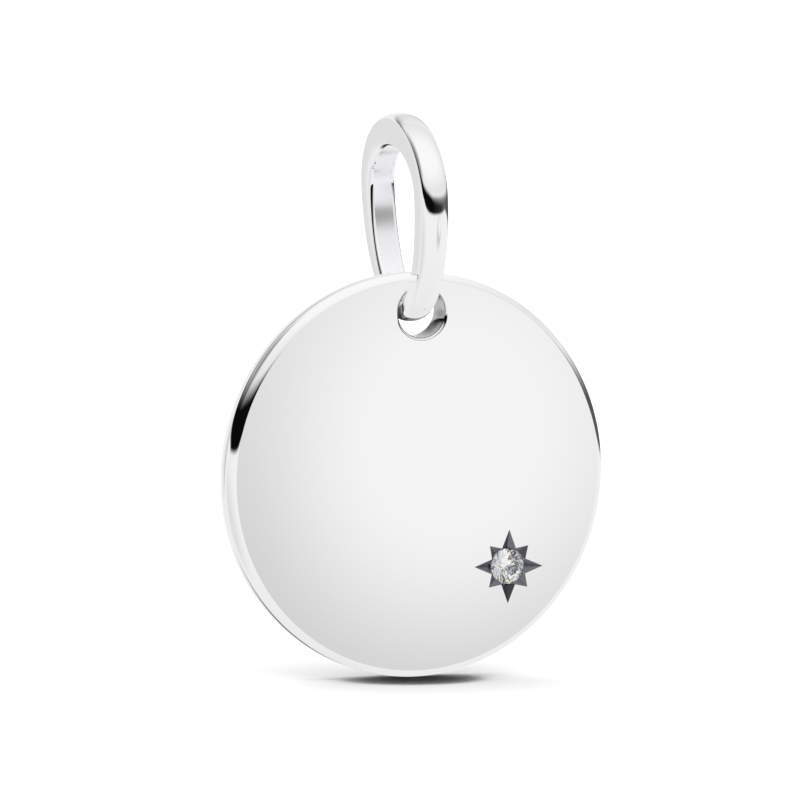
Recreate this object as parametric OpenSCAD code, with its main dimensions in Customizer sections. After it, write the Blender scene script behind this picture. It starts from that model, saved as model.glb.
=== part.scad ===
// Round tag pendant: a plain silver disc hangs from a flat band ring, and an
// engraved star in the disc's lower right holds one small brilliant.
// Millimetres, +Z up, front face towards -Y. The origin is where a chain
// carries the pendant, at the top of the ring's inside.

/* [Tag] */
// Diameter of the round tag
tag_d = 16; // [14:0.5:20]
// Thickness of the tag
tag_t = 1.3; // [1.2:0.05:1.5]
// Rounding of the tag's rim, front and back
rim_r = 0.26; // [0.15:0.01:0.4]
// Bore of the hole that the bail passes through
hole_d = 2; // [2:0.05:2.3]
// Rounding of the hole's two mouths
mouth_r = 0.12; // [0.06:0.01:0.16]
// Distance from the top of the tag to the middle of the hole
hole_drop = 1.55; // [1.5:0.05:2]

/* [Star] */
// Distance from the tag's middle to the star's
star_off = 5.4; // [3:0.05:5.4]
// Angle below level at which the star lies, to the lower right
star_angle = 43; // [30:1:60]
// Length of the upright and level rays, from the star's middle
long_ray = 1.47; // [1.2:0.01:1.5]
// Length of the slanting rays, from the star's middle
short_ray = 1.17; // [0.9:0.01:1.19]
// Distance from the star's middle to the notches between its rays
notch_r = 0.78; // [0.77:0.01:0.82]
// Depth that the slopes of the rays run down to at the star's middle
star_depth = 0.42; // [0.2:0.01:0.5]

/* [Stone] */
// Diameter of the stone at its girdle
stone_d = 1.4; // [1.2:0.05:1.45]
// Width of the table as a share of the stone's diameter
table_share = 0.56; // [0.53:0.01:0.62]
// Slope of the eight main facets of the crown, in degrees
crown_slope = 34.5; // [32:0.5:36]
// Slope of the eight main facets of the pavilion, in degrees
pavilion_slope = 40.8; // [40:0.1:42]
// Depth of the girdle's upper edge below the face of the tag
stone_sink = 0.12; // [0.08:0.01:0.15]

/* [Bail] */
// Inside diameter of the band ring
bail_in_d = 6; // [5.9:0.1:7]
// Thickness of the band, from its inside to its outside
bail_wall = 1.15; // [0.9:0.05:1.2]
// Width of the band along the ring's axis
bail_w = 0.95; // [0.8:0.05:1]
// Rounding of the band's four long edges
bail_r = 0.15; // [0.1:0.01:0.2]
// Turn of the ring about its upright axis, its front edge towards the left
bail_turn = 5.5; // [0:0.5:6]
// Lean of the ring's top towards the left, as it stands in the hole
bail_lean = 3.7; // [0:0.1:5]
// Distance of the ring to the left of the hole's middle
bail_shift = 0.3; // [0:0.05:0.3]
// Gap left between the band and the top of the hole
rest_gap = 0.06; // [0.04:0.01:0.08]

/* [Hidden] */
$fn = 96;

bail_in_r = bail_in_d / 2;
hole_rise = tag_d / 2 - hole_drop;
star_xy = star_off * [cos(star_angle), -sin(star_angle)];

// Where the band meets the top of the bore: its far corner is off the middle by
// the turn and the shift, and its inside curves up towards the two mouths.
bore_half = tag_t / 2 - mouth_r;
corner_off = bail_w / 2 - bail_r + bore_half * tan(bail_turn) + bail_shift;
corner_rise = sqrt(pow(hole_d / 2 - bail_r, 2) - pow(corner_off, 2)) + bail_r;
band_curve = bail_in_r - sqrt(pow(bail_in_r, 2) - pow(bore_half, 2));
band_rise = corner_rise - band_curve - rest_gap;

// From the chain's seat down along the leaning ring, and across to the hole.
seat_rise = band_rise + bail_in_d;
ring_up = [-sin(bail_lean), 0, cos(bail_lean)];
ring_across = [cos(bail_lean), 0, sin(bail_lean)];
hole_pos = bail_shift * ring_across - seat_rise * ring_up;
tag_pos = hole_pos - [0, 0, hole_rise];

// The brilliant's own proportions, for a girdle radius of stone_r. The tips
// are the outer ends of the star facets and the inner ends of the lower ones.
stone_r = stone_d / 2;
mains = 8;
step = 360 / mains;
girdle_t = 0.03 * stone_d;
table_r = table_share * stone_r;
crown_h = (stone_r - table_r) * tan(crown_slope);
star_tip_r = (table_r * cos(step / 2) + stone_r) / 2;
star_tip_h = (stone_r - star_tip_r * cos(step / 2)) * tan(crown_slope);
pavilion_h = stone_r * tan(pavilion_slope);
lower_tip_r = 0.22 * stone_r;
lower_tip_h = (stone_r - lower_tip_r * cos(step / 2)) * tan(pavilion_slope);

// The seat follows the pavilion's slope, a hair wider than the stone.
seat_gap = 0.03;
seat_r = stone_r + seat_gap;
seat_floor_r = 0.01;
seat_cone_h = (seat_r - seat_floor_r) * tan(pavilion_slope);
// Height by which cutting shapes stand past the faces that they cut.
past = 0.5;

// Lays a shape drawn flat, with its front up, on the upright tag.
module upright() {
    rotate([90, 0, 0])
        children();
}

// Moves from the tag's middle to the star's middle on its front face.
module at_star() {
    translate([star_xy[0], star_xy[1], tag_t / 2])
        children();
}

// A rectangle with its middle on the origin and rounded corners.
module rounded_rectangle(size, r) {
    square([size[0] - 2 * r, size[1]], center = true);
    square([size[0], size[1] - 2 * r], center = true);
    for (x = [-1, 1], y = [-1, 1])
        translate([x * (size[0] / 2 - r), y * (size[1] / 2 - r)])
            circle(r);
}

// A flat disc with a rounded rim.
module rounded_disc(d, t, r) {
    rotate_extrude()
        intersection() {
            rounded_rectangle([d, t], r);
            translate([0, -t])
                square([d, 2 * t]);
        }
}

// The bore with a rounded mouth on each side.
module hole_cut() {
    mouth_outer = hole_d / 2 + mouth_r;
    cylinder(d = hole_d, h = tag_t + 2 * past, center = true);
    for (side = [-1, 1])
        rotate_extrude()
            scale([1, side])
                difference() {
                    translate([0, bore_half])
                        square([mouth_outer, mouth_r + past]);
                    translate([mouth_outer, bore_half])
                        circle(mouth_r);
                }
}

// Eight rays whose slopes meet at one point under the star's middle, drawn on
// past the face so that the cut opens cleanly.
module star_cut() {
    spread = 1 + past / star_depth;
    rays = 2 * mains;
    reach = [long_ray, notch_r, short_ray, notch_r];
    rim = [for (i = [0:rays - 1])
        let (r = spread * reach[i % 4], a = 360 / rays * i)
        [r * cos(a), r * sin(a), past]];
    polyhedron(
        points = concat(rim, [[0, 0, -star_depth]]),
        faces = concat(
            [[for (i = [rays - 1:-1:0]) i]],
            [for (i = [0:rays - 1]) [i, (i + 1) % rays, rays]]
        )
    );
}

// The stone's seat: a straight collar down to the girdle and a cone under it.
module seat_cut() {
    collar_h = stone_sink + girdle_t;
    translate([0, 0, -collar_h])
        cylinder(r = seat_r, h = collar_h + past);
    translate([0, 0, -collar_h - seat_cone_h])
        cylinder(r1 = seat_floor_r, r2 = seat_r, h = seat_cone_h);
}

// Points evenly round the axis, the first at angle first.
function ring_points(count, first, r, h) =
    [for (i = [0:count - 1])
        let (a = first + 360 / count * i)
        [r * cos(a), r * sin(a), h]];

// One round brilliant, its girdle's upper edge at height 0: table, eight star,
// eight main and sixteen upper facets over sixteen lower and eight main ones.
module brilliant() {
    low = -girdle_t;
    corners = 2 * mains;
    // Where each ring's points start in the list.
    tips = mains;
    top = tips + mains;
    under = top + corners;
    low_tips = under + corners;
    culet = low_tips + mains;
    polyhedron(
        points = concat(
            ring_points(mains, 0, table_r, crown_h),
            ring_points(mains, step / 2, star_tip_r, star_tip_h),
            ring_points(corners, 0, stone_r, 0),
            ring_points(corners, 0, stone_r, low),
            ring_points(mains, step / 2, lower_tip_r, low - lower_tip_h),
            [[0, 0, low - pavilion_h]]
        ),
        faces = concat(
            [[for (i = [mains - 1:-1:0]) i]],
            [for (i = [0:mains - 1])
                let (next = (i + 1) % mains, g = 2 * i, mid = g + 1, h = 2 * next)
                each [
                    [i, next, tips + i],
                    [next, tips + next, top + h, tips + i],
                    [tips + i, top + mid, top + g],
                    [tips + i, top + h, top + mid],
                    [top + g, top + mid, under + mid, under + g],
                    [top + mid, top + h, under + h, under + mid],
                    [under + g, under + mid, low_tips + i],
                    [under + mid, under + h, low_tips + i],
                    [under + h, low_tips + next, culet, low_tips + i]
                ]]
        )
    );
}

// Closed flat band ring that runs through the hole and over a chain.
module bail() {
    color("silver")
        translate(hole_pos)
            rotate([0, -bail_lean, 0])
                translate([-bail_shift, 0, band_rise + bail_in_r])
                    rotate([0, 0, -bail_turn])
                        rotate([0, 90, 0])
                            rotate_extrude()
                                translate([bail_in_r + bail_wall / 2, 0])
                                    rounded_rectangle([bail_wall, bail_w], bail_r);
}

// Round tag with its hole and the engraved star.
module tag() {
    color("silver")
        translate(tag_pos)
            upright()
                difference() {
                    rounded_disc(tag_d, tag_t, rim_r);
                    translate([0, hole_rise, 0])
                        hole_cut();
                    at_star() {
                        star_cut();
                        seat_cut();
                    }
                }
}

// Clear round brilliant, set flush in the middle of the star.
module stone() {
    color("azure")
        translate(tag_pos)
            upright()
                at_star()
                    translate([0, 0, -stone_sink])
                        brilliant();
}

bail();
tag();
stone();
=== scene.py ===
import math

import bmesh
import bpy
from mathutils import Matrix, Quaternion, Vector


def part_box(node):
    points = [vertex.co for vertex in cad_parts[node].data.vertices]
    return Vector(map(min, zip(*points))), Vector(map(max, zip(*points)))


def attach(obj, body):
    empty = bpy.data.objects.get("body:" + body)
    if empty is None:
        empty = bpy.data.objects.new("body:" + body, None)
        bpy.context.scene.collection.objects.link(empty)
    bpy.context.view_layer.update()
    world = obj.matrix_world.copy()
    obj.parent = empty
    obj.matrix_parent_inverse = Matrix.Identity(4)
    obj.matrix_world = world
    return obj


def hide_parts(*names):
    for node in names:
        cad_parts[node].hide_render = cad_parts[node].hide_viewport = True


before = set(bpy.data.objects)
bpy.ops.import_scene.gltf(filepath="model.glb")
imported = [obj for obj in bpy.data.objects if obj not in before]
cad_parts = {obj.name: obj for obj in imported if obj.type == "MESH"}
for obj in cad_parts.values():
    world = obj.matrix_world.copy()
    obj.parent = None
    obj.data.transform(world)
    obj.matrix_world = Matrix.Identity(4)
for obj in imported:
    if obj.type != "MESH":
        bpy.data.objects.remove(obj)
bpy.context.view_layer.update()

# Real sizes are written in millimetres and turned to metres by MM.
MM = 0.001
X_AXIS = Vector((1, 0, 0))
Y_AXIS = Vector((0, 1, 0))
Z_AXIS = Vector((0, 0, 1))
QUARTER_TURN = math.radians(90)
FULL_TURN = math.radians(360)
# Points nearer than this are one point.
FINE = 0.00002 * MM
# Points of a ring's start and end nearer than this are joined.
WELD = 0.001 * MM
# Points nearer than this to a shape lie on it.
CLOSE = 0.002 * MM
# A face looks along an axis above the first share of its normal, lies truly flat
# above the second, and looks straight out from the axis below the third.
ALONG = 0.9
FLAT = 0.999
STRAIGHT_OUT = 0.02

# The tag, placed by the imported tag's own box.
tag_low, tag_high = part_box("tag")
TAG_MID = (tag_low + tag_high) / 2
TAG_R = (tag_high.x - tag_low.x) / 2
TAG_T = tag_high.y - tag_low.y
TAG_SIDES = 256
RIM_R = 0.28 * MM
RIM_STEPS = 16
# Bevel profiles: 0.5 is a circle's, and less turns quickly beside the faces.
RIM_PROFILE = 0.36
ROUND_PROFILE = 0.5
HOLE_R = 1 * MM
HOLE_DROP = 1.55 * MM
HOLE_SIDES = 96
MOUTH_R = 0.12 * MM
MOUTH_STEPS = 6
HOLE_MID = TAG_MID + (TAG_R - HOLE_DROP) * Z_AXIS

# The star, on the front face to the lower right.
STAR_OFF = 5.4 * MM
STAR_ANGLE = math.radians(43)
STAR_MID = TAG_MID + Vector((
    STAR_OFF * math.cos(STAR_ANGLE), -TAG_T / 2, -STAR_OFF * math.sin(STAR_ANGLE)))
LONG_RAY = 1.47 * MM
SHORT_RAY = 1.17 * MM
NOTCH_R = 0.78 * MM
STAR_DEPTH = 0.42 * MM
STAR_RAYS = 8
# Degrees past a long ray, within each quarter of the star.
QUARTER = 90
SHORT_RAYS_AT = (45,)
NOTCHES_AT = (22.5, 67.5)
# Height by which a cutter stands past the face that it cuts.
PAST = 0.5 * MM

# The stone and its seat.
STONE_R = 0.7 * MM
TABLE_R = 0.56 * STONE_R
LOWER_TIP_R = 0.22 * STONE_R
CROWN_SLOPE = math.radians(34.5)
PAVILION_SLOPE = math.radians(40.8)
GIRDLE_T = 0.03 * 2 * STONE_R
STONE_SINK = 0.12 * MM
SEAT_R = STONE_R + 0.03 * MM
SEAT_FLOOR_R = 0.01 * MM
GIRDLE_SIDES = 96

# The band ring: it stands in the hole, turned and leaning a little to the left. Its
# outside is domed, and it is pear-shaped: short above its widest level, long below.
BAIL_IN_R = 2.86 * MM
BAIL_WALL = 1.1 * MM
BAIL_DOME = 0.28 * MM
BAIL_OUT_R = BAIL_IN_R + BAIL_WALL + BAIL_DOME
BAIL_W = 1.08 * MM
BAIL_R = 0.16 * MM
BAIL_TURN = math.radians(5.5)
BAIL_LEAN = math.radians(3.7)
BAIL_SHIFT = 0.3 * MM
BAIL_RISE = 4.75 * MM
BAIL_STEPS = 256
BAIL_EDGE_STEPS = 8
DOME_SIDES = 96
# How far the inside and the outside reach above the widest level, and below it.
BAIL_ABOVE = (1.83 * MM, 3.09 * MM)
BAIL_BELOW = (4.35 * MM, 5.12 * MM)
BAIL_TILT = Matrix.Rotation(-BAIL_LEAN, 3, "Y")
BAIL_AXIS = BAIL_TILT @ Matrix.Rotation(-BAIL_TURN, 3, "Z") @ X_AXIS
BAIL_MID = HOLE_MID + BAIL_TILT @ Vector((-BAIL_SHIFT, 0, BAIL_RISE))

# Edges that turn less than this are shaded smooth.
SMOOTH_UNDER = math.radians(32)
# Outward lean of the tag's polished faces at their rim.
PILLOW = math.radians(2.5)
# Share by which the wall's normals lean towards the two faces at its ends, and how
# steeply that fades where the rounded rim turns to the faces.
BARREL = 0.6
BARREL_FADE = 4
# Turn of the ring's polished outside about its axis, where buffing has worn it.
WEAR = math.radians(-10)
# Turn of its satin inside, which the brush has hollowed.
HOLLOW = math.radians(2.5)
# Painted shade in crevices: its grey, how near another surface must be, and the open
# # share of a point's surroundings at which the painted shade is full and at which it is gone.
PAINTED_SHADE_GREY = "#303030"
CREVICE = 0.7 * MM
SHADE_FULL = 0.25
SHADE_GONE = 0.6
# In the hole it reaches further.
HOLE_CREVICE = 1.3 * MM
HOLE_SHADE_GONE = 0.8
CREVICE_SAMPLES = 8
# Buffing haze: the size of its clouds, and its least and most roughness.
HAZE_SIZE = 3 * MM
HAZE_LEAST = 0.025
HAZE_MOST = 0.05
# Size of the patches of painted fire, a blue and yellow tint in the stone.
PAINTED_FIRE_SIZE = 0.3 * MM


def only(piece):
    """Makes one piece the selected and active object."""
    bpy.ops.object.select_all(action="DESELECT")
    piece.select_set(True)
    bpy.context.view_layer.objects.active = piece


def settled(name):
    """Names the primitive just added and moves its place into its mesh."""
    piece = bpy.context.object
    piece.name = piece.data.name = name
    bpy.ops.object.transform_apply(location=True, rotation=True, scale=True)
    return piece


def pick(piece, kind, test):
    """In edit mode, selects only the vertices, edges or faces that pass the test."""
    bpy.ops.mesh.select_mode(type=kind)
    bpy.ops.mesh.select_all(action="DESELECT")
    mesh = bmesh.from_edit_mesh(piece.data)
    items = {"VERT": mesh.verts, "EDGE": mesh.edges, "FACE": mesh.faces}[kind]
    for item in items:
        item.select_set(test(item))
    mesh.select_flush_mode()
    bmesh.update_edit_mesh(piece.data)


def finish_with(piece, kind, **settings):
    """Adds a modifier and applies it."""
    modifier = piece.modifiers.new(kind.title(), kind)
    for name, value in settings.items():
        setattr(modifier, name, value)
    only(piece)
    bpy.ops.object.modifier_apply(modifier=modifier.name)


def cut(piece, cutter):
    """Cuts a shape out of a piece and throws the cutter away."""
    finish_with(piece, "BOOLEAN", object=cutter, operation="DIFFERENCE", solver="EXACT")
    bpy.data.objects.remove(cutter)


def smoothed(piece):
    """Smooth rounded edges beside flat faces that stay truly flat."""
    only(piece)
    bpy.ops.object.shade_smooth_by_angle(angle=SMOOTH_UNDER)
    finish_with(piece, "WEIGHTED_NORMAL", weight=100, keep_sharp=True)


def off_axis(point, middle):
    """Distance of a point from the front-to-back line through a middle."""
    gap = point - middle
    return math.hypot(gap.x, gap.z)


def lies_on_rim(edge):
    """True for an edge of the plain disc's front or back circle."""
    return abs(edge.verts[0].co.y - edge.verts[1].co.y) < TAG_T / 2


def ends_face(edge):
    """True for an edge of the circle where a flat face of the tag meets its rim."""
    return all(
        abs(off_axis(vert.co, TAG_MID) - (TAG_R - RIM_R)) < CLOSE
        and abs(abs(vert.co.y - TAG_MID.y) - TAG_T / 2) < CLOSE for vert in edge.verts)


def grow(piece, side, step, share):
    """Extrudes the end face on one side, front -1 or back 1, and scales it about the hole."""
    def is_end(face):
        return face.normal.y * side > ALONG and face.verts[0].co.y * side > 0

    pick(piece, "FACE", is_end)
    bpy.ops.mesh.extrude_region_move(TRANSFORM_OT_translate={"value": (0, side * step, 0)})
    bpy.ops.transform.resize(value=(share, 1, share), center_override=HOLE_MID)


def hole_cutter():
    """A round bar through the tag whose ends flare out to round the hole's mouths."""
    bpy.ops.mesh.primitive_cylinder_add(
        vertices=HOLE_SIDES, radius=HOLE_R, depth=TAG_T - 2 * MOUTH_R,
        location=HOLE_MID, rotation=(QUARTER_TURN, 0, 0))
    cutter = settled("hole_cutter")
    bpy.ops.object.mode_set(mode="EDIT")
    turns = [QUARTER_TURN * k / MOUTH_STEPS for k in range(MOUTH_STEPS + 1)]
    radii = [HOLE_R + MOUTH_R * (1 - math.cos(turn)) for turn in turns]
    for side in (-1, 1):
        for k in range(MOUTH_STEPS):
            step = MOUTH_R * (math.sin(turns[k + 1]) - math.sin(turns[k]))
            grow(cutter, side, step, radii[k + 1] / radii[k])
        grow(cutter, side, PAST, 1)
    bpy.ops.object.mode_set(mode="OBJECT")
    return cutter


def star_cutter():
    """A pointed sixteen-sided cone whose rim is drawn in to the short rays and notches."""
    spread = 1 + PAST / STAR_DEPTH
    depth = STAR_DEPTH + PAST
    middle = STAR_MID + (STAR_DEPTH - depth / 2) * Y_AXIS
    bpy.ops.mesh.primitive_cone_add(
        vertices=2 * STAR_RAYS, radius1=0, radius2=LONG_RAY * spread, depth=depth,
        location=middle, rotation=(QUARTER_TURN, 0, 0))
    cutter = settled("star_cutter")
    bpy.ops.object.mode_set(mode="EDIT")
    front = STAR_MID.y - PAST / 2

    def at_turn(vert, turns):
        gap = vert.co - STAR_MID
        turn = math.degrees(math.atan2(gap.z, gap.x)) % QUARTER
        return vert.co.y < front and min(abs(turn - a) for a in turns) < 1

    for turns, reach in ((SHORT_RAYS_AT, SHORT_RAY), (NOTCHES_AT, NOTCH_R)):
        pick(cutter, "VERT", lambda vert: at_turn(vert, turns))
        share = reach / LONG_RAY
        bpy.ops.transform.resize(value=(share, 1, share), center_override=STAR_MID)
    bpy.ops.object.mode_set(mode="OBJECT")
    return cutter


def seat_cutter():
    """A collar down to the stone's girdle, drawn in to a cone under it."""
    collar = STONE_SINK + GIRDLE_T
    cone = (SEAT_R - SEAT_FLOOR_R) * math.tan(PAVILION_SLOPE)
    middle = STAR_MID + (collar - PAST) / 2 * Y_AXIS
    bpy.ops.mesh.primitive_cylinder_add(
        vertices=GIRDLE_SIDES, radius=SEAT_R, depth=collar + PAST,
        location=middle, rotation=(QUARTER_TURN, 0, 0))
    cutter = settled("seat_cutter")
    bpy.ops.object.mode_set(mode="EDIT")
    pick(cutter, "FACE", lambda face: face.normal.y > ALONG)
    bpy.ops.mesh.extrude_region_move(TRANSFORM_OT_translate={"value": (0, cone, 0)})
    share = SEAT_FLOOR_R / SEAT_R
    bpy.ops.transform.resize(value=(share, 1, share), center_override=STAR_MID)
    bpy.ops.object.mode_set(mode="OBJECT")
    return cutter


def add_tag():
    """The tag: a disc with its hole, rounded rim and mouths, star and stone seat."""
    bpy.ops.mesh.primitive_cylinder_add(
        vertices=TAG_SIDES, radius=TAG_R, depth=TAG_T,
        location=TAG_MID, rotation=(QUARTER_TURN, 0, 0))
    tag = settled("polished_tag")
    bpy.ops.object.mode_set(mode="EDIT")
    pick(tag, "EDGE", lies_on_rim)
    bpy.ops.mesh.bevel(offset=RIM_R, segments=RIM_STEPS, profile=RIM_PROFILE, affect="EDGES")
    bpy.ops.object.mode_set(mode="OBJECT")
    cut(tag, hole_cutter())
    cut(tag, star_cutter())
    cut(tag, seat_cutter())
    # Each flat face ends at a crisp line, so that its shading doesn't smear over the rim.
    bpy.ops.object.mode_set(mode="EDIT")
    pick(tag, "EDGE", ends_face)
    bpy.ops.mesh.mark_sharp()
    bpy.ops.object.mode_set(mode="OBJECT")
    smoothed(tag)
    return tag


def add_bail():
    """The ring: a domed band section, spun round its axis and drawn into a pear."""
    crease = BAIL_IN_R + BAIL_WALL
    bpy.ops.mesh.primitive_circle_add(
        vertices=DOME_SIDES, radius=1, location=(0, 0, crease), rotation=(QUARTER_TURN, 0, 0))
    bpy.context.object.scale = (BAIL_W / 2, BAIL_DOME, 1)
    bail = settled("polished_bail")
    bpy.ops.object.mode_set(mode="EDIT")
    pick(bail, "VERT", lambda vert: vert.co.z < crease - FINE)
    bpy.ops.mesh.delete(type="VERT")
    pick(bail, "VERT", lambda vert: vert.co.z < crease + FINE)
    bpy.ops.mesh.extrude_region_move(TRANSFORM_OT_translate={"value": (0, 0, -BAIL_WALL)})
    bpy.ops.mesh.edge_face_add()
    bpy.ops.mesh.bevel(
        offset=BAIL_R, segments=BAIL_EDGE_STEPS, profile=ROUND_PROFILE, affect="VERTICES")
    bpy.ops.mesh.select_all(action="SELECT")
    bpy.ops.mesh.spin(steps=BAIL_STEPS, angle=FULL_TURN, center=(0, 0, 0), axis=X_AXIS)
    bpy.ops.mesh.select_all(action="SELECT")
    bpy.ops.mesh.remove_doubles(threshold=WELD)
    bpy.ops.mesh.normals_make_consistent(inside=False)
    bpy.ops.object.mode_set(mode="OBJECT")
    half = BAIL_IN_R + BAIL_WALL / 2
    inside = {
        vert.index for vert in bail.data.vertices if math.hypot(vert.co.y, vert.co.z) < half}
    bpy.ops.object.mode_set(mode="EDIT")
    for side, (in_reach, out_reach) in ((1, BAIL_ABOVE), (-1, BAIL_BELOW)):
        for is_inside, share in ((True, in_reach / BAIL_IN_R), (False, out_reach / BAIL_OUT_R)):
            pick(bail, "VERT", lambda vert: (
                vert.co.z * side > FINE and (vert.index in inside) == is_inside))
            bpy.ops.transform.resize(value=(1, 1, share), center_override=(0, 0, 0))
    bpy.ops.object.mode_set(mode="OBJECT")
    bail.matrix_world = (
        Matrix.Translation(HOLE_MID)
        @ Matrix.Rotation(-BAIL_LEAN, 4, "Y")
        @ Matrix.Translation((-BAIL_SHIFT, 0, BAIL_RISE))
        @ Matrix.Rotation(-BAIL_TURN, 4, "Z"))
    only(bail)
    bpy.ops.object.transform_apply(location=True, rotation=True, scale=True)
    smoothed(bail)
    return bail


def on_stone(turn, radius, height):
    """A point on the stone, by its turn round the axis, in degrees from level."""
    a = math.radians(turn)
    girdle = STAR_MID + STONE_SINK * Y_AXIS
    return girdle + Vector((radius * math.cos(a), -height, radius * math.sin(a)))


def facet_points():
    """Three points of each facet's plane, row by row, as the stone is cut."""
    step = 360 / STAR_RAYS
    half = math.radians(step / 2)
    crown_h = (STONE_R - TABLE_R) * math.tan(CROWN_SLOPE)
    tip_r = (TABLE_R * math.cos(half) + STONE_R) / 2
    tip_h = (STONE_R - tip_r * math.cos(half)) * math.tan(CROWN_SLOPE)
    low_h = (STONE_R - LOWER_TIP_R * math.cos(half)) * math.tan(PAVILION_SLOPE) + GIRDLE_T
    culet = STONE_R * math.tan(PAVILION_SLOPE) + GIRDLE_T
    yield [on_stone(turn, TABLE_R, crown_h) for turn in (0, step, 2 * step)]
    for turn in (k * step for k in range(STAR_RAYS)):
        tip = on_stone(turn + step / 2, tip_r, tip_h)
        low_tip = on_stone(turn + step / 2, LOWER_TIP_R, -low_h)
        next_low_tip = on_stone(turn - step / 2, LOWER_TIP_R, -low_h)
        corners = [on_stone(turn + share * step, STONE_R, 0) for share in (0, 0.5, 1)]
        lower = [corner + GIRDLE_T * Y_AXIS for corner in corners]
        # One star facet, one main and two uppers, then two lowers and one main.
        yield tip, on_stone(turn, TABLE_R, crown_h), on_stone(turn + step, TABLE_R, crown_h)
        yield tip, on_stone(turn - step / 2, tip_r, tip_h), corners[0]
        yield tip, corners[0], corners[1]
        yield tip, corners[1], corners[2]
        yield low_tip, lower[0], lower[1]
        yield low_tip, lower[1], lower[2]
        yield low_tip, next_low_tip, on_stone(0, 0, -culet)


def add_stone():
    """The brilliant: a round bar cut flat, facet by facet, as a lapidary does."""
    bpy.ops.mesh.primitive_cylinder_add(
        vertices=GIRDLE_SIDES, radius=STONE_R, depth=2 * STONE_R,
        location=STAR_MID + STONE_SINK * Y_AXIS, rotation=(QUARTER_TURN, 0, 0))
    stone = settled("clear_brilliant")
    inside = on_stone(0, 0, -GIRDLE_T)
    bpy.ops.object.mode_set(mode="EDIT")
    for a, b, c in facet_points():
        normal = (b - a).cross(c - a).normalized()
        if normal.dot(a - inside) < 0:
            normal.negate()
        bpy.ops.mesh.select_all(action="SELECT")
        bpy.ops.mesh.bisect(
            plane_co=a, plane_no=normal, use_fill=True, clear_outer=True, threshold=FINE)
    bpy.ops.mesh.select_all(action="SELECT")
    bpy.ops.mesh.normals_make_consistent(inside=False)
    bpy.ops.object.mode_set(mode="OBJECT")
    return stone


def srgb(code):
    """A hex colour as linear red, green, blue and alpha."""
    shades = [int(code[k:k + 2], 16) / 255 for k in (1, 3, 5)]
    return [s / 12.92 if s <= 0.04045 else ((s + 0.055) / 1.055) ** 2.4 for s in shades] + [1]


def add_node(tree, kind, inputs=(), **settings):
    """Adds a node with its settings; each input is a value or another node's output."""
    node = tree.nodes.new(kind)
    for name, value in settings.items():
        setattr(node, name, value)
    for name, value in dict(inputs).items():
        if isinstance(value, bpy.types.NodeSocket):
            tree.links.new(value, node.inputs[name])
        else:
            node.inputs[name].default_value = value
    return node


def maths(tree, operation, *values):
    """The output of a sum on one, two or three values."""
    node = add_node(tree, "ShaderNodeMath", enumerate(values), operation=operation)
    return node.outputs["Value"]


def vector_maths(tree, operation, *values, output="Vector"):
    """The output of a sum on one or two vectors."""
    node = add_node(tree, "ShaderNodeVectorMath", enumerate(values), operation=operation)
    return node.outputs[output]


def ranged(tree, value, from_low=0, from_high=1, to_low=0, to_high=1, **settings):
    """A value carried from one range to another."""
    node = add_node(tree, "ShaderNodeMapRange", {
        "Value": value, "From Min": from_low, "From Max": from_high,
        "To Min": to_low, "To Max": to_high}, **settings)
    return node.outputs["Result"]


def mixed(tree, share, first, second):
    """The first colour at share 0, the second at share 1, and a blend between."""
    # The node's colour sockets have the names of others, so they go by number.
    node = add_node(
        tree, "ShaderNodeMix", {"Factor": share, 6: first, 7: second}, data_type="RGBA")
    return node.outputs[2]


def graded(tree, value, low, high, stops):
    """A colour ramp over a value, from stops of (value, colour)."""
    ramp = add_node(tree, "ShaderNodeValToRGB", {"Fac": ranged(tree, value, low, high)})
    stops = [((at - low) / (high - low), colour) for at, colour in stops]
    while len(ramp.color_ramp.elements) < len(stops):
        ramp.color_ramp.elements.new(1)
    for element, (at, colour) in zip(ramp.color_ramp.elements, stops):
        element.position = at
        element.color = colour
    return ramp.outputs["Color"]


def place_in(tree):
    """The place of each point of a piece, in metres."""
    return add_node(tree, "ShaderNodeTexCoord").outputs["Object"]


def facing_in(tree):
    """The way that each point of a piece faces."""
    return add_node(tree, "ShaderNodeNewGeometry").outputs["Normal"]


def new_material(name):
    """An empty material with its shader, and the tree that they are in."""
    material = bpy.data.materials.new(name)
    material.use_nodes = True
    tree = material.node_tree
    return material, tree, tree.nodes["Principled BSDF"]


def turn_normals(tree, shader, axis, angle):
    """Turns the shader's normals about an axis."""
    worn = add_node(tree, "ShaderNodeVectorRotate", {
        "Vector": facing_in(tree), "Axis": axis, "Angle": angle}, rotation_type="AXIS_ANGLE")
    tree.links.new(worn.outputs["Vector"], shader.inputs["Normal"])


def lean_normals(tree, shader, middle):
    """Leans the shader's normals outwards from a middle, as on a buffed disc: a little
    on its faces, towards their rim, and more on its wall, which is barrel-shaped."""
    facing = facing_in(tree)
    out = vector_maths(tree, "SUBTRACT", place_in(tree), middle)
    lean = vector_maths(
        tree, "MULTIPLY", out, (PILLOW / TAG_R, 2 * BARREL / TAG_T, PILLOW / TAG_R))
    sideways = vector_maths(tree, "MULTIPLY", facing, (1, 0, 1))
    sideways = vector_maths(tree, "LENGTH", sideways, output="Value")
    on_wall = maths(tree, "POWER", sideways, BARREL_FADE)
    on_wall = add_node(tree, "ShaderNodeCombineXYZ", {"X": 1, "Y": on_wall, "Z": 1})
    lean = vector_maths(tree, "MULTIPLY", lean, on_wall.outputs["Vector"])
    worn = vector_maths(tree, "ADD", lean, facing)
    worn = vector_maths(tree, "NORMALIZE", worn)
    tree.links.new(worn, shader.inputs["Normal"])


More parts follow.
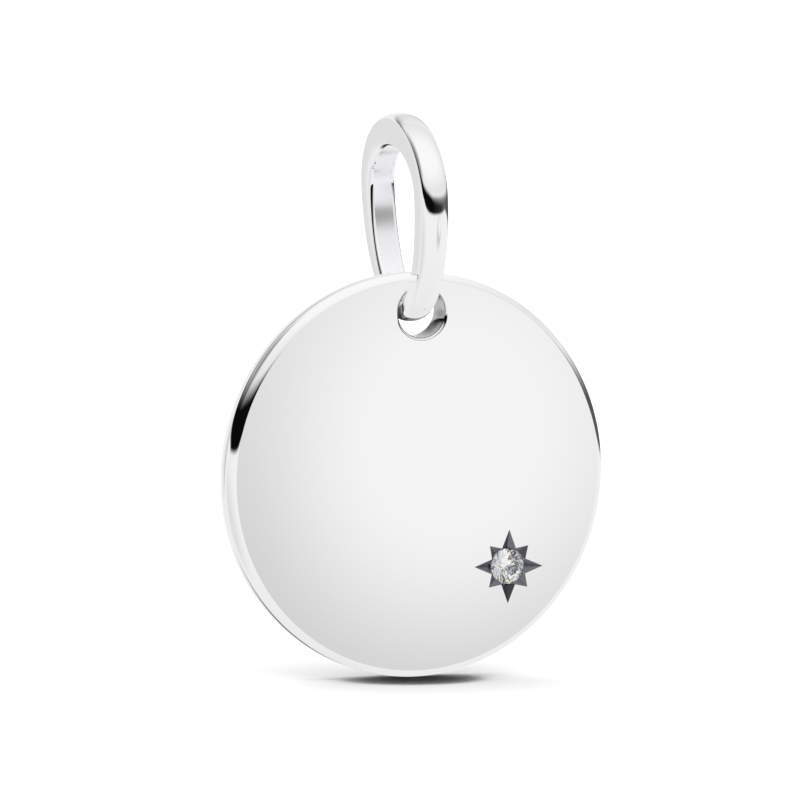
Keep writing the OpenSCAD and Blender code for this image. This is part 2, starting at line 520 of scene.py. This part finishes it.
def add_painted_shade(tree, shader, colour, reach=CREVICE, gone=SHADE_GONE):
    """Paints shade into a metal's colour where it is closed in, between two pieces and in
    hollows.
    """
    open_share = add_node(tree, "ShaderNodeAmbientOcclusion", {
        "Distance": reach}, samples=CREVICE_SAMPLES).outputs["AO"]
    unshaded = ranged(tree, open_share, SHADE_FULL, gone)
    # Only up at the hole: the tag's foot, near the table, stays bright.
    height = add_node(tree, "ShaderNodeSeparateXYZ", {"Vector": place_in(tree)}).outputs["Z"]
    low_down = maths(tree, "LESS_THAN", height, TAG_MID.z)
    unshaded = maths(tree, "MAXIMUM", unshaded, low_down)
    # Painted shade: the metal's grey turns dark where occlusion finds it closed in.
    shade = mixed(tree, unshaded, srgb(PAINTED_SHADE_GREY), srgb(colour))
    tree.links.new(shade, shader.inputs["Base Color"])


def polished_silver(name):
    """Sterling silver, rolled, struck and mirror-polished on a buffing wheel. The eye
    gets a near-colourless mirror with a breath of haze that comes and goes over it."""
    material, tree, shader = new_material(name)
    shader.inputs["Metallic"].default_value = 1
    # Painted shade darkens its colour in crevices and between the pieces.
    add_painted_shade(tree, shader, "#FAFAFA")
    haze = add_node(tree, "ShaderNodeTexNoise", {
        "Vector": place_in(tree), "Scale": 1 / HAZE_SIZE, "Detail": 3}).outputs["Fac"]
    rough = ranged(tree, haze, to_low=HAZE_LEAST, to_high=HAZE_MOST)
    tree.links.new(rough, shader.inputs["Roughness"])
    return material, tree, shader


def tag_silver():
    """Polished silver for the tag, whose faces and wall are worn down at their ends."""
    material, tree, shader = polished_silver("sterling_silver_mirror_polished_tag")
    lean_normals(tree, shader, TAG_MID)
    return material


def bail_silver():
    """Polished silver for the ring, whose curve buffing has worn a little off true."""
    material, tree, shader = polished_silver("sterling_silver_mirror_polished_bail")
    turn_normals(tree, shader, BAIL_AXIS, WEAR)
    return material


def satin_silver():
    """Sterling silver brushed out to satin, as a ring's inside is: the eye gets a soft
    sheen that runs from light to grey with no picture of the room in it."""
    material, tree, shader = new_material("sterling_silver_satin_brushed")
    shader.inputs["Metallic"].default_value = 0.7
    shader.inputs["Roughness"].default_value = 0.19
    # Painted shade darkens its colour where it is closed in.
    add_painted_shade(tree, shader, "#FAFAFE")
    turn_normals(tree, shader, BAIL_AXIS, HOLLOW)
    return material


def drilled_silver():
    """Sterling silver as the drill leaves it in the hole: bright, and black with painted
    shade near the ring, where the hole closes in around it."""
    material, tree, shader = new_material("sterling_silver_drilled_hole")
    shader.inputs["Metallic"].default_value = 1
    shader.inputs["Roughness"].default_value = 0.08
    # Painted shade blackens it near the ring, reaching further in the hole.
    add_painted_shade(tree, shader, "#F0F0F0", HOLE_CREVICE, HOLE_SHADE_GONE)
    return material


def oxidised_silver():
    """Silver darkened in the cuts by liver of sulphur, as engraving is: the eye gets
    dull slopes of dark grey that make the star stand out from the bright face."""
    material, _, shader = new_material("sterling_silver_oxidised_cut")
    shader.inputs["Metallic"].default_value = 1
    shader.inputs["Roughness"].default_value = 0.35
    shader.inputs["Base Color"].default_value = srgb("#7C7C84")
    return material


def cut_zirconia():
    """Cubic zirconia, cut and polished: the eye gets a clear, bright stone that breaks
    the light up into facets, with a faint painted fire of blue and yellow in its tint."""
    material, tree, shader = new_material("cubic_zirconia_cut_clear")
    shader.inputs["Transmission Weight"].default_value = 1
    shader.inputs["Roughness"].default_value = 0.08
    shader.inputs["IOR"].default_value = 1.95
    # Painted fire: blue and yellow patches in the tint stand in for light split by the stone.
    painted_fire = add_node(tree, "ShaderNodeTexNoise", {
        "Vector": place_in(tree), "Scale": 1 / PAINTED_FIRE_SIZE}).outputs["Fac"]
    tint = graded(tree, painted_fire, 0, 1, (
        (0.35, srgb("#CCD6F4")), (0.5, srgb("#EEEEEE")), (0.7, srgb("#F2ECD0"))))
    tree.links.new(tint, shader.inputs["Base Color"])
    return material


def dress(piece, *materials):
    """Gives a piece its materials, the first one all over."""
    piece.data.materials.clear()
    for material in materials:
        piece.data.materials.append(material)


# Order of the tag's materials, and of the ring's.
ON_FACE, IN_CUT, IN_SEAT, IN_HOLE = range(4)
POLISHED, BRUSHED = range(2)


def tag_finish(face):
    """Which of the tag's materials a face takes."""
    if off_axis(face.center, HOLE_MID) < HOLE_R + MOUTH_R / 2:
        return IN_HOLE
    off_star = off_axis(face.center, STAR_MID)
    if off_star >= LONG_RAY or abs(face.normal.y) >= FLAT:
        return ON_FACE
    return IN_SEAT if off_star < SEAT_R else IN_CUT


def bail_finish(face):
    """Which of the ring's materials a face takes."""
    looks_in = face.normal.dot(face.center - BAIL_MID) < 0
    if looks_in and abs(face.normal.dot(BAIL_AXIS)) < STRAIGHT_OUT:
        return BRUSHED
    return POLISHED


satin = satin_silver()
tag = add_tag()
dress(tag, tag_silver(), oxidised_silver(), satin, drilled_silver())
for face in tag.data.polygons:
    face.material_index = tag_finish(face)
bail = add_bail()
dress(bail, bail_silver(), satin)
for face in bail.data.polygons:
    face.material_index = bail_finish(face)
stone = add_stone()
dress(stone, cut_zirconia())

# The tag's mirror stays free of the ring's image, as a product photo's does.
bail.visible_glossy = False
for piece, node, body, slot in (
        (tag, "tag", "tag", "polished_silver"),
        (bail, "bail", "bail", "polished_silver"),
        (stone, "stone", "tag", "clear_stone")):
    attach(piece, body)
    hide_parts(node)

# The table, a little below the tag, and far wider than the picture, in metres.
TABLE_TOP = tag_low.z - 0.05 * MM
TABLE_SIDE = 6
# A black card held level over the table at the tag's foot, which shades the table
# alone: its middle from the tag's, its height over the table, and its half sizes.
CARD_LEFT = 0.1 * MM
CARD_FORWARD = 0.9 * MM
CARD_RISE = 0.48 * MM
CARD_HALF = (2.95 * MM, 1.85 * MM)
CARD_SIDES = 96


def add_table():
    """White table: the eye gets plain white, with the pendant's own soft shadow."""
    bpy.ops.mesh.primitive_plane_add(size=TABLE_SIDE, location=(0, 0, TABLE_TOP))
    table = settled("white_table")
    paint, _, shader = new_material("white_acrylic_matte")
    shader.inputs["Base Color"].default_value = srgb("#F2F2F2")
    shader.inputs["Roughness"].default_value = 0.9
    shader.inputs["Specular IOR Level"].default_value = 0
    dress(table, paint)
    table.visible_glossy = False


def add_card():
    """Black card, unseen itself: the eye gets the dark core of the table's shadow."""
    bpy.ops.mesh.primitive_circle_add(
        vertices=CARD_SIDES, radius=1, fill_type="NGON",
        location=(TAG_MID.x - CARD_LEFT, TAG_MID.y - CARD_FORWARD, TABLE_TOP + CARD_RISE))
    bpy.context.object.scale = (*CARD_HALF, 1)
    card = settled("shading_card")
    paint, _, shader = new_material("black_felt_matte")
    shader.inputs["Base Color"].default_value = srgb("#050505")
    shader.inputs["Roughness"].default_value = 1
    dress(card, paint)
    card.visible_camera = False
    card.visible_glossy = False
    card.visible_transmission = False


add_table()
add_card()

# The studio as the silver sees it. Azimuth is counted from the front, positive to
# the right, and elevation from the horizon, both in degrees.
# The room's own grey, by elevation.
ROOM = (
    (-90, "#EEEEEE"), (-30, "#F4F4F4"), (-3, "#F6F6F6"), (3, "#F4F4F4"),
    (30, "#E8E8E8"), (60, "#FCFCFC"), (90, "#FFFFFF"))
# Soft round patches: azimuth, elevation, half width, half height, grey. Each is full
# out to the first share of its half sizes, and gone at the second.
PATCH_FULL = 0.3
PATCH_GONE = 1.2
PATCHES = (
    (-120, 34, 46, 26, "#949494"),
    (-171, -6, 8, 12, "#E2E2E2"),
    (-150, 0, 14, 11, "#C8C8C8"),
    (-95, -22, 46, 26, "#E2E2E2"),
    (22.3, -9, 12, 14, "#CECECE"),
    (24.2, -4.3, 7.8, 7.8, "#F9F9F9"),
    (158, -46, 14, 12, "#505050"),
    (178, -38, 26, 22, "#383838"),
    (-182, -38, 26, 22, "#383838"))
# The dark strip round the table: azimuth, low edge, high edge and darkness.
STRIP = (
    (-180, 17, 26, 0.7), (-170, 14, 25, 0.75), (-163, 11, 22, 0.95), (-157, 9, 19, 1),
    (-120, 8, 27, 1), (-90, 6, 28, 1), (-60, 4, 28, 1), (-30, 3, 25, 1), (-6, 3.3, 18, 1),
    (30, 5, 16, 0.97), (55, 6.5, 16, 0.85), (80, 2, 15, 0.9), (105, -2, 15, 0.9),
    (138, -4, 9, 0.9), (150, 2, 9, 0.3), (160, 9, 15, 0.15), (172, 15, 24, 0.5),
    (180, 17, 26, 0.7))
STRIP_GREY = "#0A0A0A"
# Heights over which its low and high edges fade.
STRIP_SOFT_LOW = 3
STRIP_SOFT_HIGH = 14
# A colour ramp holds only values from 0 to 1, so it holds the edges' elevations as
# shares of this span above this floor.
STRIP_FLOOR = -10
STRIP_SPAN = 45
# Light on the table from all round, the same from every side.
DOME = 1.62


def sky_angles(sky):
    """The azimuth and the elevation of each point of the studio, in degrees."""
    way = add_node(sky, "ShaderNodeSeparateXYZ", {
        "Vector": add_node(sky, "ShaderNodeTexCoord").outputs["Generated"]})
    front = maths(sky, "MULTIPLY", way.outputs["Y"], -1)
    around = maths(sky, "ARCTAN2", way.outputs["X"], front)
    above = maths(sky, "ARCSINE", way.outputs["Z"])
    return maths(sky, "DEGREES", around), maths(sky, "DEGREES", above)


def with_patch(sky, tone, azimuth, elevation, patch):
    """The studio's tone with a soft round patch over it."""
    at_azimuth, at_elevation, wide, high, grey = patch
    across = ranged(sky, azimuth, at_azimuth - wide, at_azimuth + wide, -1, clamp=False)
    up = ranged(sky, elevation, at_elevation - high, at_elevation + high, -1, clamp=False)
    place = add_node(sky, "ShaderNodeCombineXYZ", {"X": across, "Y": up}).outputs["Vector"]
    far = vector_maths(sky, "LENGTH", place, output="Value")
    share = ranged(sky, far, PATCH_GONE, PATCH_FULL, interpolation_type="SMOOTHSTEP")
    return mixed(sky, share, tone, srgb(grey))


def with_strip(sky, tone, azimuth, elevation):
    """The studio's tone with the dark strip over it."""
    edges = add_node(sky, "ShaderNodeSeparateColor", {"Color": graded(sky, azimuth, -180, 180, [
        (at, ((low - STRIP_FLOOR) / STRIP_SPAN, (high - STRIP_FLOOR) / STRIP_SPAN, dark, 1))
        for at, low, high, dark in STRIP])})
    over_low = maths(sky, "MULTIPLY_ADD", edges.outputs["Red"], -STRIP_SPAN, elevation)
    over_high = maths(sky, "MULTIPLY_ADD", edges.outputs["Green"], -STRIP_SPAN, elevation)
    low_share = ranged(
        sky, over_low, STRIP_FLOOR - STRIP_SOFT_LOW / 2, STRIP_FLOOR + STRIP_SOFT_LOW / 2,
        to_high=edges.outputs["Blue"], interpolation_type="SMOOTHSTEP")
    high_share = ranged(
        sky, over_high, STRIP_FLOOR + STRIP_SOFT_HIGH / 2, STRIP_FLOOR - STRIP_SOFT_HIGH / 2,
        interpolation_type="SMOOTHSTEP")
    share = maths(sky, "MULTIPLY", low_share, high_share)
    return mixed(sky, share, tone, srgb(STRIP_GREY))


def add_studio():
    """The studio: the silver mirrors it, the table gets even light and no light back
    from other things, and the camera sees plain white."""
    world = bpy.data.worlds.new("studio")
    bpy.context.scene.world = world
    world.use_nodes = True
    sky = world.node_tree
    azimuth, elevation = sky_angles(sky)
    tone = graded(sky, elevation, -90, 90, [(at, srgb(grey)) for at, grey in ROOM])
    for patch in PATCHES:
        tone = with_patch(sky, tone, azimuth, elevation, patch)
    tone = with_strip(sky, tone, azimuth, elevation)
    rays = add_node(sky, "ShaderNodeLightPath")
    for kind, light in (("Diffuse Depth", 0), ("Is Diffuse Ray", DOME), ("Is Camera Ray", 1)):
        tone = mixed(sky, rays.outputs[kind], tone, (light, light, light, 1))
    sky.links.new(tone, sky.nodes["Background"].inputs["Color"])


add_studio()

# The camera: its turn to the left of the front, its height, its roll and distance,
# and how far right of and above the tag's middle it looks.
CAMERA_TURN = math.radians(-23)
CAMERA_RISE = math.radians(5)
CAMERA_ROLL = math.radians(1.2)
CAMERA_AWAY = 333 * MM
LOOK_RIGHT = -0.485 * MM
LOOK_UP = 2.92 * MM
# The lens and the sensor, in a camera's usual millimetres, and what lies in view.
LENS = 380
SENSOR = 36
SEEN_FROM = 10 * MM
SEEN_TO = 10


def add_camera():
    """A long lens, as in product photographs."""
    camera_data = bpy.data.cameras.new("product_camera")
    camera_data.lens = LENS
    camera_data.sensor_width = SENSOR
    camera_data.clip_start = SEEN_FROM
    camera_data.clip_end = SEEN_TO
    camera = bpy.data.objects.new("product_camera", camera_data)
    bpy.context.scene.collection.objects.link(camera)
    back = Vector((
        math.sin(CAMERA_TURN) * math.cos(CAMERA_RISE),
        -math.cos(CAMERA_TURN) * math.cos(CAMERA_RISE),
        math.sin(CAMERA_RISE)))
    turn = (-back).to_track_quat("-Z", "Y") @ Quaternion(Z_AXIS, CAMERA_ROLL)
    target = TAG_MID + turn @ Vector((LOOK_RIGHT, LOOK_UP, 0))
    camera.location = target + back * CAMERA_AWAY
    camera.rotation_mode = "QUATERNION"
    camera.rotation_quaternion = turn
    bpy.context.scene.camera = camera


add_camera()
bpy.context.scene.view_settings.view_transform = "Standard"
